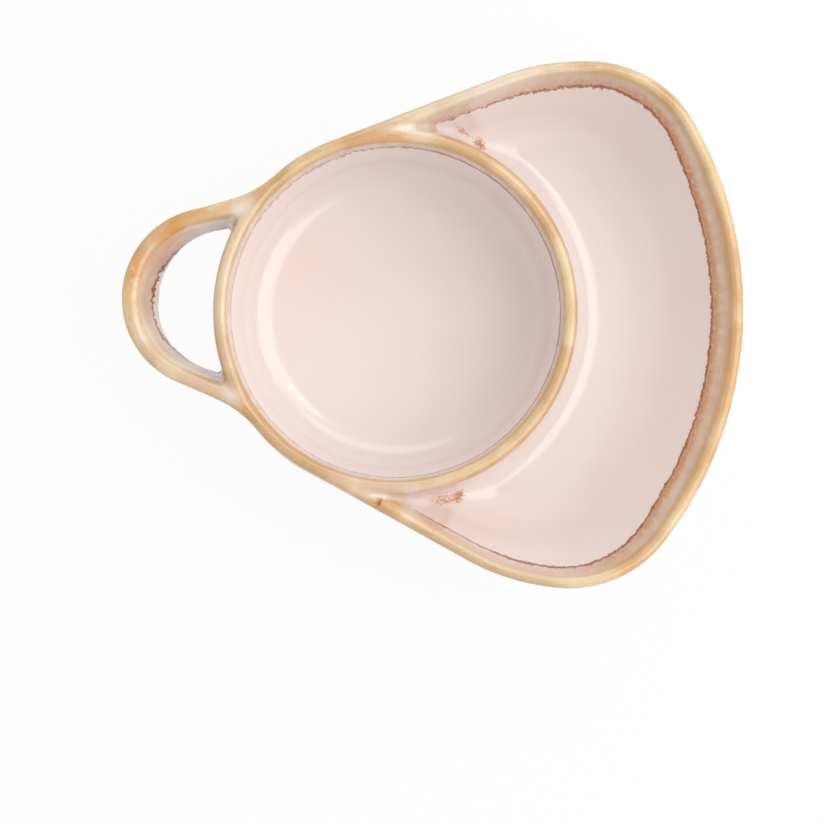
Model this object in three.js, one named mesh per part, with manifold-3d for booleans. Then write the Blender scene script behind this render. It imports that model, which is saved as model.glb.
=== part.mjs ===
// Divided serving dish in glazed stoneware: a round bowl and a crescent tray
// share one base, and a loop handle stands opposite the tray.
// Millimetres, +Z up. The outline is drawn round the bowl's axis, with the
// tray along +X, and the dish is set down on the middle of its own box at the end.
import * as THREE from "three";
import { mergeVertices } from "three/addons/utils/BufferGeometryUtils.js";
import Module from "manifold-3d";

const wasm = await Module();
wasm.setup();

// Rim outline in plan, from the bowl's axis
const RIM_BOWL_RADIUS = 82;
const RIM_TRAY_REACH = 157.9;
const RIM_TRAY_WIDTH = 239;
const RIM_END_RADIUS = 172;
const RIM_CORNER_RADIUS = 54.5;
const RIM_SHOULDER_RADIUS = 103;

// Foot outline in plan, at the underside of the base
const FOOT_BOWL_RADIUS = 75;
const FOOT_TRAY_REACH = 121;
const FOOT_TRAY_WIDTH = 190;
const FOOT_END_RADIUS = 140;
const FOOT_CORNER_RADIUS = 44;
const FOOT_SHOULDER_RADIUS = 82;

// Heights, and how far the rim dips below its highest point over the bowl
const RIM_HEIGHT = 69;
const TRAY_RIM_DIP = 9;
const HANDLE_RIM_DIP = 2.5;
const RIM_BEND = 30;
const FOOT_HEIGHT = 2.2;
const BASE_THICKNESS = 5.8;
const BASE_CORNER_RADIUS = 4.5;

// Walls
const WALL = 6;
const TRAY_BOW = 1.45;
const BOWL_BOW = 2.6;
const BOWL_BULGE = 1.6;
const BOWL_INSIDE_BOW = 1.3;
const BOWL_FLOOR_RADIUS = 69.5;
const BOWL_COVE = 13;
const TRAY_COVE = 14;
const DIVIDER_DRAFT = 1.5;
const DIVIDER_COVE = 12;
const SLIP_JOINT = 0.3;

// Loop handle
const HANDLE_TOP_REACH = 124.5;
const HANDLE_TOP_NOSE = 41.5;
const HANDLE_LOW_REACH = 113.8;
const HANDLE_LOW_NOSE = 38.2;
const HANDLE_FLARE = THREE.MathUtils.degToRad(19.8);
const HANDLE_ROOT_FILLET = 46;
const HANDLE_DEPTH = 30;
const HANDLE_TOP_STRAP = 7.4;
const HANDLE_LOW_STRAP = 5.8;
const HANDLE_EDGE = 2.6;

// Bare foot ring
const FOOT_SETBACK = 1.2;
const FOOT_WIDTH = 5;
const FOOT_EASE = 0.8;

const FLOOR_Z = FOOT_HEIGHT + BASE_THICKNESS;
const ROLL = WALL / 2;
const ROLL_Z = RIM_HEIGHT - ROLL;
const HANDLE_LOW_Z = RIM_HEIGHT - HANDLE_DEPTH;

const RIM_PLAN = {
  bowl: RIM_BOWL_RADIUS,
  reach: RIM_TRAY_REACH,
  half: RIM_TRAY_WIDTH / 2,
  end: RIM_END_RADIUS,
  corner: RIM_CORNER_RADIUS,
  shoulder: RIM_SHOULDER_RADIUS,
};
const FOOT_PLAN = {
  bowl: FOOT_BOWL_RADIUS,
  reach: FOOT_TRAY_REACH,
  half: FOOT_TRAY_WIDTH / 2,
  end: FOOT_END_RADIUS,
  corner: FOOT_CORNER_RADIUS,
  shoulder: FOOT_SHOULDER_RADIUS,
};

const { lerp } = THREE.MathUtils;
const mapPlan = (plan, change) =>
  Object.fromEntries(Object.entries(plan).map(([key, size]) => [key, change(size, key)]));
const inset = (plan, by) => mapPlan(plan, (size) => size - by);
const steps = (from, to, count) => Array.from({ length: count + 1 }, (_, i) => lerp(from, to, i / count));

// Points along an arc, both ends included
function arc(x, y, radius, from, to, count) {
  return new THREE.EllipseCurve(x, y, radius, radius, from, to, to < from).getPoints(count);
}

// Centre of the corner arc: it touches the end arc inside and is widest at half the tray's width
function cornerCentre({ reach, half, end, corner }) {
  const along = Math.sqrt((end - corner) ** 2 - (half - corner) ** 2);
  return new THREE.Vector2(reach - end + along, half - corner);
}

// Direction square to the straight flank, which touches the shoulder arc and the bowl's circle
function flankAngle(plan) {
  const centre = new THREE.Vector2(cornerCentre(plan).x, plan.half - plan.shoulder);
  return centre.angle() + Math.acos((plan.bowl - plan.shoulder) / centre.length())
    - (centre.y < 0 ? 2 * Math.PI : 0);
}

// Closed outline, counter-clockwise from the tray's end
function outline(plan) {
  const centre = cornerCentre(plan);
  const endX = plan.reach - plan.end;
  const shoulderY = plan.half - plan.shoulder;
  const turn = Math.atan2(centre.y, centre.x - endX);
  const flank = flankAngle(plan);
  const half = [
    ...arc(endX, 0, plan.end, 0, turn, 7).slice(0, -1),
    ...arc(centre.x, centre.y, plan.corner, turn, Math.PI / 2, 9).slice(0, -1),
    ...arc(centre.x, shoulderY, plan.shoulder, Math.PI / 2, flank, 5),
  ];
  const bowl = arc(0, 0, plan.bowl, flank, Math.PI, 9);
  const last = half[half.length - 1];
  for (const share of steps(0, 1, 5).slice(1, -1)) half.push(last.clone().lerp(bowl[0], share));
  half.push(...bowl);
  const mirrored = half.slice(1, -1).reverse().map((p) => new THREE.Vector2(p.x, -p.y));
  return [...half, ...mirrored];
}

const raise = (points, z) => points.map((p) => new THREE.Vector3(p.x, p.y, z));

// Outline of the outside wall at a height: it draws in from the rim to the foot, faster near the foot,
// and the bowl's side bulges a little on the way
function wallPlan(z) {
  const depth = Math.max(0, RIM_HEIGHT - z) / (RIM_HEIGHT - FOOT_HEIGHT);
  const plan = mapPlan(RIM_PLAN, (size, key) => lerp(size, FOOT_PLAN[key], depth ** TRAY_BOW));
  const bowl = lerp(RIM_PLAN.bowl, FOOT_PLAN.bowl, depth ** BOWL_BOW);
  return { ...plan, bowl: bowl + BOWL_BULGE * 4 * depth * (1 - depth) };
}

// Skin over a row of closed loops, counter-clockwise seen along the row;
// a closed row joins its last loop to its first, an open one gets end caps
function loft(loops, closed = false) {
  const count = loops[0].length;
  const points = loops.flat();
  const index = [];
  const rows = closed ? loops.length : loops.length - 1;
  for (let row = 0; row < rows; row += 1) {
    const low = row * count;
    const high = ((row + 1) % loops.length) * count;
    for (let i = 0; i < count; i += 1) {
      const next = (i + 1) % count;
      index.push(low + i, low + next, high + next, low + i, high + next, high + i);
    }
  }
  if (!closed) {
    for (const [row, outward] of [[0, false], [loops.length - 1, true]]) {
      const middle = new THREE.Vector3();
      loops[row].forEach((p) => middle.add(p));
      points.push(middle.divideScalar(count));
      for (let i = 0; i < count; i += 1) {
        const here = row * count + i;
        const next = row * count + ((i + 1) % count);
        index.push(points.length - 1, outward ? here : next, outward ? next : here);
      }
    }
  }
  const geometry = new THREE.BufferGeometry().setFromPoints(points);
  geometry.setIndex(index);
  return geometry;
}

// Solid turned round the bowl's axis from a list of [radius, height], bottom to top
function turned(profile, segments) {
  const [low, high] = [profile[0][1], profile[profile.length - 1][1]];
  const points = [[0, low], ...profile, [0, high]].map(([r, z]) => new THREE.Vector2(r, z));
  return new THREE.LatheGeometry(points, segments).rotateX(Math.PI / 2);
}

// Closed body for cutting, and back to a geometry
function body(geometry) {
  const bare = geometry.clone();
  bare.deleteAttribute("normal");
  bare.deleteAttribute("uv");
  const merged = mergeVertices(bare, 1e-4);
  return new wasm.Manifold(new wasm.Mesh({
    numProp: 3,
    vertProperties: Float32Array.from(merged.attributes.position.array),
    triVerts: Uint32Array.from(merged.index.array),
  }));
}

function geometryOf(made) {
  const mesh = made.getMesh();
  const geometry = new THREE.BufferGeometry();
  geometry.setAttribute("position", new THREE.BufferAttribute(mesh.vertProperties, mesh.numProp));
  geometry.setIndex(new THREE.BufferAttribute(mesh.triVerts, 1));
  return geometry;
}

// Quarter round: share of the radius drawn in and share of it climbed, over a number of steps
const quarter = (count) => steps(0, Math.PI / 2, count).map((a) => [1 - Math.cos(a), Math.sin(a)]);

// Base slab: flat floor, sides that carry on the walls, rounded lower corner
function baseSlab() {
  const loops = quarter(4).reverse().map(([drawn, climb]) => {
    const z = FOOT_HEIGHT + BASE_CORNER_RADIUS * (1 - climb);
    return raise(outline(inset(wallPlan(z), BASE_CORNER_RADIUS * drawn)), z);
  });
  loops.push(raise(outline(wallPlan(FLOOR_Z)), FLOOR_Z));
  return loft(loops);
}

// Bowl wall: a full ring, whose outside is the dish's own side round the handle
// and the divider towards the tray
const bowlInside = (z) => lerp(
  RIM_BOWL_RADIUS - WALL,
  BOWL_FLOOR_RADIUS,
  ((RIM_HEIGHT - z) / (RIM_HEIGHT - FLOOR_Z)) ** BOWL_INSIDE_BOW,
);

function dividerRadius(z) {
  const drafted = RIM_BOWL_RADIUS + DIVIDER_DRAFT * (RIM_HEIGHT - z) / (RIM_HEIGHT - FLOOR_Z);
  const rise = Math.min(1, (z - FLOOR_Z) / DIVIDER_COVE);
  const coved = drafted + DIVIDER_COVE * (1 - Math.sqrt(1 - (1 - rise) ** 2));
  return Math.max(coved, wallPlan(z).bowl);
}

function bowlOutside(angle, z) {
  const plan = wallPlan(z);
  const past = Math.max(0, flankAngle(plan) - Math.abs(angle));
  const side = past < Math.PI / 3 ? plan.bowl / Math.cos(past) : Infinity;
  return Math.min(side, dividerRadius(z));
}

const dividerHeights = [
  ...quarter(4).map(([drawn]) => FLOOR_Z + DIVIDER_COVE * drawn).slice(0, -1),
  ...steps(FLOOR_Z + DIVIDER_COVE, ROLL_Z, 5),
];

function bowlWall() {
  const columns = steps(-Math.PI, Math.PI, 90).slice(0, -1);
  const ring = (radiusAt, z) => columns.map((a) => {
    const radius = radiusAt(a);
    return new THREE.Vector3(radius * Math.cos(a), radius * Math.sin(a), z);
  });
  const loops = dividerHeights.map((z) => ring((a) => bowlOutside(a, z), z));
  for (const turn of steps(0, Math.PI, 6).slice(1, -1)) {
    loops.push(ring(() => RIM_BOWL_RADIUS - ROLL * (1 - Math.cos(turn)), ROLL_Z + ROLL * Math.sin(turn)));
  }
  for (const z of steps(ROLL_Z, FLOOR_Z + BOWL_COVE, 5)) loops.push(ring(() => bowlInside(z), z));
  for (const [drawn, climb] of quarter(4).slice(1)) {
    const z = FLOOR_Z + BOWL_COVE * (1 - climb);
    loops.push(ring(() => bowlInside(z) - BOWL_COVE * drawn, z));
  }
  return loft(loops, true);
}

// Tray wall: the rest of the side, cut off where it runs into the bowl's wall
function trayWall() {
  const loops = steps(FLOOR_Z, ROLL_Z, 6).map((z) => raise(outline(wallPlan(z)), z));
  for (const turn of steps(0, Math.PI, 6).slice(1, -1)) {
    const z = ROLL_Z + ROLL * Math.sin(turn);
    loops.push(raise(outline(inset(wallPlan(z), ROLL * (1 - Math.cos(turn)))), z));
  }
  for (const z of steps(ROLL_Z, FLOOR_Z + TRAY_COVE, 5)) {
    loops.push(raise(outline(inset(wallPlan(z), WALL)), z));
  }
  for (const [drawn, climb] of quarter(4).slice(1)) {
    const z = FLOOR_Z + TRAY_COVE * (1 - climb);
    loops.push(raise(outline(inset(wallPlan(z), WALL + TRAY_COVE * drawn)), z));
  }
  const bowl = turned([
    [dividerRadius(FLOOR_Z) + SLIP_JOINT, FLOOR_Z - WALL],
    ...dividerHeights.map((z) => [dividerRadius(z) + SLIP_JOINT, z]),
    [RIM_BOWL_RADIUS + SLIP_JOINT, RIM_HEIGHT + WALL],
  ], 90);
  return geometryOf(body(loft(loops, true)).subtract(body(bowl)));
}

// Loop handle: a leaning strap whose roots flare into the bowl's side
function handlePlan(z) {
  const share = (RIM_HEIGHT - z) / HANDLE_DEPTH;
  return {
    reach: lerp(HANDLE_TOP_REACH, HANDLE_LOW_REACH, share),
    nose: lerp(HANDLE_TOP_NOSE, HANDLE_LOW_NOSE, share),
    strap: lerp(HANDLE_TOP_STRAP, HANDLE_LOW_STRAP, share),
    bowl: wallPlan(z).bowl,
  };
}

const bothSides = (half) => [
  ...half,
  ...half.slice(0, -1).reverse().map((p) => new THREE.Vector2(p.x, -p.y)),
];

function handleOuter(z, drawnIn) {
  const { reach, nose, bowl } = handlePlan(z);
  const noseX = nose - reach;
  const fillet = HANDLE_ROOT_FILLET + drawnIn;
  const square = new THREE.Vector2(-Math.sin(HANDLE_FLARE), Math.cos(HANDLE_FLARE));
  const along = new THREE.Vector2(Math.cos(HANDLE_FLARE), Math.sin(HANDLE_FLARE));
  const off = square.x * noseX + nose - drawnIn + fillet;
  const back = Math.sqrt((bowl + fillet) ** 2 - off ** 2);
  const centre = square.clone().multiplyScalar(off).addScaledVector(along, -back);
  const towardsBowl = centre.clone().negate().angle();
  const towardsSide = square.clone().negate().angle();
  return bothSides([
    ...arc(centre.x, centre.y, fillet, towardsBowl, towardsSide, 6),
    ...arc(noseX, 0, nose - drawnIn, Math.PI / 2 + HANDLE_FLARE, Math.PI, 9),
  ]);
}

function handleHole(z, eased) {
  const { reach, nose, strap, bowl } = handlePlan(z);
  const noseX = nose - reach;
  const arcPoints = arc(noseX, 0, nose - strap + eased, Math.PI / 2 + HANDLE_FLARE, Math.PI, 9);
  const run = -bowl / 2 - arcPoints[0].x;
  const inside = new THREE.Vector2(-bowl / 2, arcPoints[0].y + run * Math.tan(HANDLE_FLARE));
  return bothSides([inside, ...arcPoints]);
}

function loopHandle() {
  const edge = quarter(3).map(([drawn, climb]) => [HANDLE_EDGE * (1 - climb), HANDLE_EDGE * drawn]);
  const levels = [
    ...edge.toReversed().map(([up, drawn]) => [HANDLE_LOW_Z + up, drawn]),
    ...edge.map(([down, drawn]) => [RIM_HEIGHT - down, drawn]),
  ];
  const outer = loft(levels.map(([z, drawn]) => raise(handleOuter(z, drawn), z)));
  const through = [
    [HANDLE_LOW_Z, HANDLE_EDGE, HANDLE_LOW_Z - WALL],
    ...levels.map(([z, drawn]) => [z, drawn, z]),
    [RIM_HEIGHT, HANDLE_EDGE, RIM_HEIGHT + WALL],
  ];
  const hole = loft(through.map(([z, eased, at]) => raise(handleHole(z, eased), at)));
  const side = [
    ...steps(HANDLE_LOW_Z - WALL, RIM_HEIGHT, 5).map((z) => [wallPlan(z).bowl + SLIP_JOINT, z]),
    [RIM_BOWL_RADIUS + SLIP_JOINT, RIM_HEIGHT + WALL],
  ];
  return geometryOf(body(outer).subtract(body(hole)).subtract(body(turned(side, 120))));
}

// Foot ring: the bare clay the dish stands on
function footRing() {
  const outside = BASE_CORNER_RADIUS + FOOT_SETBACK;
  const inside = outside + FOOT_WIDTH;
  const rows = [
    [inside, FOOT_HEIGHT],
    [inside, FOOT_EASE],
    [inside - FOOT_EASE, 0],
    [outside + FOOT_EASE, 0],
    [outside, FOOT_EASE],
    [outside, FOOT_HEIGHT],
  ];
  return loft(rows.map(([drawn, z]) => raise(outline(inset(FOOT_PLAN, drawn)), z)), true);
}

// Rim line: level over the bowl, dipping towards the tray's end and a little towards the handle
const slope = (distance) => (distance + Math.hypot(distance, RIM_BEND)) / 2;

function rimAt(x) {
  const tray = slope(x) / slope(RIM_TRAY_REACH);
  const handle = slope(-x - FOOT_BOWL_RADIUS) / slope(HANDLE_TOP_REACH - FOOT_BOWL_RADIUS);
  return RIM_HEIGHT - TRAY_RIM_DIP * tray - HANDLE_RIM_DIP * handle;
}

function dipRim(geometry) {
  const at = geometry.attributes.position;
  for (let i = 0; i < at.count; i += 1) {
    const above = at.getZ(i) - FLOOR_Z;
    const share = (rimAt(at.getX(i)) - FLOOR_Z) / (RIM_HEIGHT - FLOOR_Z);
    if (above > 0) at.setZ(i, FLOOR_Z + above * share);
  }
  return geometry;
}

const glaze = { color: 0xe6d3c8, roughness: 0.22, metalness: 0 };
const bareClay = { color: 0x9c7a5e, roughness: 0.85, metalness: 0 };
const group = new THREE.Group();
group.name = "divided_serving_dish";

function add(name, geometry, finish) {
  geometry.computeVertexNormals();
  const mesh = new THREE.Mesh(geometry, new THREE.MeshStandardMaterial(finish));
  mesh.name = name;
  group.add(mesh);
}

add("base_slab", baseSlab(), glaze);
add("bowl_wall", dipRim(bowlWall()), glaze);
add("tray_wall", dipRim(trayWall()), glaze);
add("loop_handle", dipRim(loopHandle()), glaze);
add("foot_ring", footRing(), bareClay);

const box = new THREE.Box3().setFromObject(group);
const middle = box.getCenter(new THREE.Vector3());
group.position.set(-middle.x, -middle.y, -box.min.z);

export default group;
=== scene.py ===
"""Divided serving dish in glazed stoneware: a round bowl, a crescent tray and a loop handle."""
import logging
import math
from dataclasses import dataclass, field, replace
from enum import Enum

import bmesh
import bpy
import numpy as np
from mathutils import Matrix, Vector
from mathutils.kdtree import KDTree


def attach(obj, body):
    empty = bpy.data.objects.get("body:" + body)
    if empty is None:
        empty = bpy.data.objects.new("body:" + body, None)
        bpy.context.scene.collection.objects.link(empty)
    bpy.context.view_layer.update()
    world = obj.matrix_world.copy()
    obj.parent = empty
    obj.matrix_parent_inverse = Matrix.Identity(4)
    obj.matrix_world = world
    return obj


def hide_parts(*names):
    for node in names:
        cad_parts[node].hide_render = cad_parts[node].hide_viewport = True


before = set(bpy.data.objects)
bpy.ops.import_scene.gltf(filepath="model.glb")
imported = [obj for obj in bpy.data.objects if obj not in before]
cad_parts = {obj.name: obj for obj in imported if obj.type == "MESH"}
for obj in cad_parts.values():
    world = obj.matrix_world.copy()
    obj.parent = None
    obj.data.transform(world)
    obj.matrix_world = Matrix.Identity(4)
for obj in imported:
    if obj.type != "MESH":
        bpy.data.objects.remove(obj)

LOG = logging.getLogger("divided_dish")

# The bowl's axis along X, and twice the place about which the far side is turned, in mm
AXIS_X = -16.9009
FAR_SIDE_TURN = 34

# Lengths in metres
MM = 0.001
MERGE_GAP = 1e-6

# Steps along each part of an outline
END_STEPS = 36
CORNER_STEPS = 40
SHOULDER_STEPS = 20
FLANK_STEPS = 24
BOWL_STEPS = 40

# Short names of types
Sizes = float | np.ndarray
Numbers = tuple[float, ...]
Range = tuple[float, float]
Colour = tuple[float, float, float, float]
Piece = bpy.types.Object
Socket = bpy.types.NodeSocket


class Cut(Enum):
    """How one solid is put together with another."""

    JOIN = "UNION"
    TAKE_AWAY = "DIFFERENCE"


class Layer(Enum):
    """Values kept on the points of the glazed skin, for its finish."""

    BAND = "glaze_band"
    EDGE = "glaze_edge"
    LINE = "glaze_line"
    SMEAR = "glaze_smear"
    RAGGED = "glaze_ragged"
    OUTER = "glaze_outer"
    # Pooled glaze, and painted light where hollows lie in shade.
    POOL = "glaze_pool_and_painted_light"
    EMBER = "glaze_ember"
    FLECK = "glaze_fleck"
    BLUSH = "glaze_blush"


# Modelling by hand


def deselect_all() -> None:
    """Leave nothing selected."""
    bpy.ops.object.select_all(action="DESELECT")


def apply_modifier(piece: Piece, kind: str, **settings: object) -> None:
    """Add one modifier to a piece and apply it.

    Args:
        piece: the object to finish.
        kind: the modifier's type.
        settings: the modifier's own values.
    """
    modifier = piece.modifiers.new(kind.lower(), kind)
    for key, value in settings.items():
        setattr(modifier, key, value)
    bpy.context.view_layer.objects.active = piece
    bpy.ops.object.modifier_apply(modifier=modifier.name)


def combine(piece: Piece, other: Piece, how: Cut) -> None:
    """Put a second solid together with a first one and remove the second.

    Args:
        piece: the solid that stays.
        other: the solid that is joined to it or taken away from it.
        how: which of the two.
    """
    apply_modifier(piece, "BOOLEAN", object=other, operation=how.value, solver="MANIFOLD")
    bpy.data.objects.remove(other, do_unlink=True)


def wrapped_sheet(name: str, rows: np.ndarray) -> Piece:
    """Wrap a flat grid round a row of closed loops, close its seam and fill its open ends.

    Args:
        name: the new object's name.
        rows: points in mm from the bowl's axis, as loops x points x 3.

    Returns:
        A closed solid with its place in its mesh.
    """
    rows = np.concatenate([rows, rows[:, :1]], axis=1)
    count, around = rows.shape[:2]
    deselect_all()
    bpy.ops.mesh.primitive_grid_add(x_subdivisions=around - 1, y_subdivisions=count - 1, size=MM)
    piece = bpy.context.object
    piece.name = piece.data.name = name
    points = rows.reshape(-1, 3) + (AXIS_X, 0, 0)
    piece.data.vertices.foreach_set("co", (points * MM).ravel())
    piece.data.update()
    bpy.ops.object.mode_set(mode="EDIT")
    bpy.ops.mesh.select_mode(type="EDGE")
    bpy.ops.mesh.select_all(action="SELECT")
    bpy.ops.mesh.remove_doubles(threshold=MERGE_GAP)
    bpy.ops.mesh.select_all(action="DESELECT")
    bpy.ops.mesh.select_non_manifold(use_wire=False, use_multi_face=False, use_non_contiguous=False)
    bpy.ops.mesh.fill_holes(sides=0)
    bpy.ops.mesh.select_all(action="SELECT")
    bpy.ops.mesh.normals_make_consistent(inside=False)
    bpy.ops.object.mode_set(mode="OBJECT")
    return piece


def points_of(piece: Piece) -> np.ndarray:
    """Points of a piece in mm from the bowl's axis.

    Args:
        piece: a mesh object at the origin.

    Returns:
        An array of points x 3.
    """
    flat = np.empty(len(piece.data.vertices) * 3)
    piece.data.vertices.foreach_get("co", flat)
    return flat.reshape(-1, 3) / MM - (AXIS_X, 0, 0)


def keep_values(piece: Piece, layer: Layer, values: np.ndarray) -> None:
    """Keep one number on each point of a piece.

    Args:
        piece: the mesh object.
        layer: the name to keep it under.
        values: one number a point.
    """
    made = piece.data.attributes.new(layer.value, "FLOAT", "POINT")
    made.data.foreach_set("value", np.asarray(values, dtype=np.float32))


def weigh(piece: Piece, name: str, weights: np.ndarray) -> str:
    """Give a piece a new vertex group.

    Args:
        piece: the mesh object.
        name: the group's name.
        weights: one share a point.

    Returns:
        The group's name.
    """
    group = piece.vertex_groups.new(name=name)
    for index, weight in enumerate(weights):
        group.add([index], weight, "REPLACE")
    return group.name


def arc(x: float, y: float, radius: float, start: float, end: float, count: int) -> np.ndarray:
    """Points along an arc, both ends included.

    Args:
        x, y: the arc's centre.
        radius: its radius.
        start, end: its first and last angle, in radians.
        count: how many steps.

    Returns:
        An array of points x 2.
    """
    angles = np.linspace(start, end, count + 1)
    return np.stack([x + radius * np.cos(angles), y + radius * np.sin(angles)], axis=1)


def raised(points: np.ndarray, z: float) -> np.ndarray:
    """Set flat points at a height."""
    return np.column_stack([points, np.full(len(points), z)])


def quarter(count: int) -> list[tuple[float, float]]:
    """Shares of a round's radius drawn in and climbed, over a number of steps."""
    turns = np.linspace(0, math.pi / 2, count + 1)
    return [(1 - math.cos(turn), math.sin(turn)) for turn in turns]


def smooth_step(low: Sizes, high: Sizes, value: np.ndarray) -> np.ndarray:
    """Soft step from 0 at low to 1 at high."""
    share = np.clip((value - low) / (high - low), 0, 1)
    return share * share * (3 - 2 * share)


# Form of the dish


@dataclass(frozen=True)
class Plan:
    """Sizes in mm of one closed outline of tangent arcs, drawn round the bowl's axis."""

    bowl: Sizes
    reach: Sizes
    half: Sizes
    end: Sizes
    corner: Sizes
    shoulder: Sizes

    def sizes(self) -> tuple[Sizes, ...]:
        """All six sizes, the bowl's first."""
        return self.bowl, self.reach, self.half, self.end, self.corner, self.shoulder

    def towards(self, other: "Plan", bowl_share: Sizes, share: Sizes) -> "Plan":
        """Outline part of the way to another one.

        Args:
            other: the outline at share 1.
            bowl_share: how far the bowl's radius has gone.
            share: how far the other sizes have gone.

        Returns:
            The outline between the two.
        """
        shares = (bowl_share, *[share] * 5)
        return Plan(*(a + (b - a) * s for a, b, s in zip(self.sizes(), other.sizes(), shares)))

    def drawn_in(self, by: float) -> "Plan":
        """Parallel outline, further in."""
        return Plan(*(size - by for size in self.sizes()))

    def corner_centre(self) -> tuple[Sizes, Sizes]:
        """Centre of the corner arc."""
        along = np.sqrt((self.end - self.corner) ** 2 - (self.half - self.corner) ** 2)
        return self.reach - self.end + along, self.half - self.corner

    def flank(self) -> Sizes:
        """Direction square to the straight flank, in radians."""
        x, y = self.corner_centre()[0], self.half - self.shoulder
        return np.arctan2(y, x) + np.arccos((self.bowl - self.shoulder) / np.hypot(x, y))

    def loop(self) -> np.ndarray:
        """Closed outline, counter-clockwise from the tray's end.

        Returns:
            An array of points x 2.
        """
        x, y = self.corner_centre()
        end_x, shoulder_y = self.reach - self.end, self.half - self.shoulder
        turn = math.atan2(y, x - end_x)
        flank = self.flank()
        bowl = arc(0, 0, self.bowl, flank, math.pi, BOWL_STEPS)
        half = np.concatenate([
            arc(end_x, 0, self.end, 0, turn, END_STEPS)[:-1],
            arc(x, y, self.corner, turn, math.pi / 2, CORNER_STEPS)[:-1],
            arc(x, shoulder_y, self.shoulder, math.pi / 2, flank, SHOULDER_STEPS),
        ])
        line = np.linspace(half[-1], bowl[0], FLANK_STEPS + 1)[1:-1]
        half = np.concatenate([half, line, bowl])
        return np.concatenate([half, half[-2:0:-1] * (1, -1)])

    def inside(self, x: np.ndarray, y: np.ndarray) -> np.ndarray:
        """How far points lie inside the outline.

        Args:
            x, y: the points.

        Returns:
            Distances in mm, negative outside.
        """
        y = np.abs(y)
        cx, cy = self.corner_centre()
        sy = self.half - self.shoulder
        end_x = self.reach - self.end
        flank = self.flank()
        past_flank = np.arctan2(y, x) >= flank
        beside_flank = (np.arctan2(y - sy, x - cx) >= flank) & (y > sy)
        on_corner = np.arctan2(y - cy, x - cx) >= np.arctan2(cy, cx - end_x)
        return np.select(
            [past_flank, beside_flank, (x <= cx) & (y > sy), on_corner & (x > cx)],
            [
                self.bowl - np.hypot(x, y),
                self.bowl - x * np.cos(flank) - y * np.sin(flank),
                self.shoulder - np.hypot(x - cx, y - sy),
                self.corner - np.hypot(x - cx, y - cy),
            ],
            self.end - np.hypot(x - end_x, y),
        )


@dataclass(frozen=True)
class DishForm:
    """Sizes of the whole dish in mm, as the solids have them."""

    rim: Plan = Plan(82, 157.9, 119.5, 172, 54.5, 103)
    foot: Plan = Plan(75, 121, 95, 140, 44, 82)
    rim_height: float = 69
    tray_rim_dip: float = 9
    handle_rim_dip: float = 2.5
    rim_bend: float = 30
    foot_height: float = 2.2
    floor: float = 8
    base_corner: float = 4.5
    wall: float = 6
    tray_bow: float = 1.45
    bowl_bow: float = 2.6
    bowl_bulge: float = 1.6
    bowl_inside_bow: float = 1.3
    bowl_floor: float = 69.5
    cove: float = 14
    handle_reach: float = 124.5

    @property
    def roll(self) -> float:
        """Radius of the rolled rim."""
        return self.wall / 2

    @property
    def roll_height(self) -> float:
        """Height at which the rim starts to roll over."""
        return self.rim_height - self.roll

    @property
    def crest_radius(self) -> float:
        """Radius of the bowl's crest line."""
        return self.rim.bowl - self.roll

    def side(self, z: Sizes) -> Plan:
        """Outline of the outer side at a height."""
        depth = np.maximum(0, self.rim_height - z) / (self.rim_height - self.foot_height)
        plan = self.rim.towards(self.foot, depth**self.bowl_bow, depth**self.tray_bow)
        return replace(plan, bowl=plan.bowl + self.bowl_bulge * 4 * depth * (1 - depth))

    def bowl_inside(self, z: Sizes) -> Sizes:
        """Radius of the bowl's inner face at a height, without its cove."""
        depth = (self.rim_height - z) / (self.rim_height - self.floor)
        rim = self.rim.bowl - self.wall
        return rim + (self.bowl_floor - rim) * np.maximum(0, depth) ** self.bowl_inside_bow

    def lining(self, z: float, drawn: float) -> Plan:
        """Outline of the inner face at a height.

        Args:
            z: the height.
            drawn: how far the cove has drawn it in.

        Returns:
            The outline inside the wall.
        """
        plan = self.side(z).drawn_in(self.wall + drawn)
        return Plan(self.bowl_inside(z) - drawn, *plan.sizes()[1:])

    def rim_at(self, x: Sizes) -> Sizes:
        """Height of the rim line, which dips towards the tray's end and the handle."""

        def slope(distance: Sizes) -> Sizes:
            """Soft ramp that starts at 0."""
            return (distance + np.hypot(distance, self.rim_bend)) / 2

        tray = slope(x) / slope(self.rim.reach)
        handle = slope(-x - self.foot.bowl) / slope(self.handle_reach - self.foot.bowl)
        return self.rim_height - self.tray_rim_dip * tray - self.handle_rim_dip * handle

    def share_at(self, x: Sizes) -> Sizes:
        """How much the dipping rim lowers what stands on the floor."""
        return (self.rim_at(x) - self.floor) / (self.rim_height - self.floor)

    def dipped(self, rows: np.ndarray) -> np.ndarray:
        """Points with the rim's dip.

        Args:
            rows: points in mm, with a level rim.

        Returns:
            The same points, lowered above the floor.
        """
        above = np.maximum(0, rows[..., 2] - self.floor)
        made = rows.copy()
        made[..., 2] -= above * (1 - self.share_at(rows[..., 0]))
        return made

    def levelled(self, x: np.ndarray, z: np.ndarray) -> np.ndarray:
        """Heights before the rim's dip."""
        above = np.maximum(0, z - self.floor)
        return z + above * (1 / self.share_at(x) - 1)


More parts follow.
